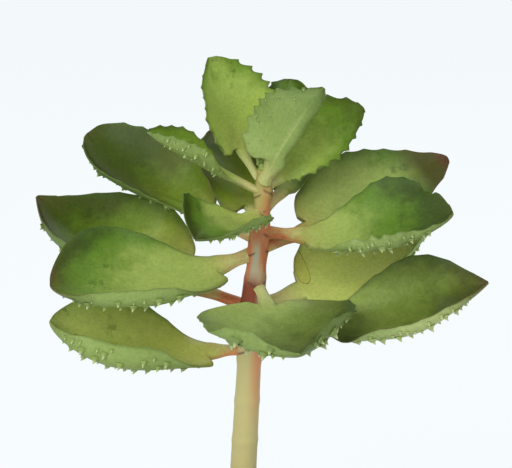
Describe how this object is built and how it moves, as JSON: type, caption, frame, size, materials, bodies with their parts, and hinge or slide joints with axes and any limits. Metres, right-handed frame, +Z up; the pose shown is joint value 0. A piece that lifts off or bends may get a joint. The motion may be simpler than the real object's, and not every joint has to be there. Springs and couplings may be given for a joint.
{
  "type": "potted kalanchoe",
  "caption": "Tall-stemmed potted succulent with big stalked, spoon-shaped leaves, soft teeth under them, soil and a plain clay pot.",
  "frame": {"origin": "middle of the pot's flat underside, on the surface that it stands on", "axes": "+Z up along the stem; +X to the right and +Y away from someone who looks at the plant's front"},
  "size_m": [0.2737, 0.1579, 0.3911],
  "materials": {
    "terracotta": "unglazed fired clay, matt, with pale mineral bloom",
    "soil": "dark crumbly potting soil with grit and bark",
    "stem": "fleshy stem, yellow-green at the foot, pink-brown and grooved above, satin",
    "old_leaf": "thick olive-green leaf flesh with reddish margins and tips, satin",
    "mature_leaf": "thick mid-green leaf flesh, yellow-green near the stalk, pale under, satin",
    "crown_leaf": "young light green leaf flesh with toothed margins, satin"
  },
  "bodies": {
    "root": {"pot": "terracotta", "soil": "soil", "stem": "stem", "growing_tip": "crown_leaf", "leaf_lower_left": "old_leaf", "leaf_front": "old_leaf", "leaf_lower_right": "old_leaf", "leaf_mid_left_back": "mature_leaf", "leaf_mid_right_back": "old_leaf", "leaf_mid_left_front": "mature_leaf", "leaf_upper_right_back": "mature_leaf", "leaf_upper_right_front": "mature_leaf", "leaf_upper_left_back": "mature_leaf", "leaf_back_left": "mature_leaf", "leaf_back_right": "mature_leaf", "leaf_upper_front_left": "mature_leaf", "leaf_crown_left": "crown_leaf", "leaf_crown_right": "crown_leaf", "leaf_crown_front": "crown_leaf", "leaf_crown_back_left": "crown_leaf", "leaf_crown_back": "crown_leaf"}
  },
  "joints": []
}
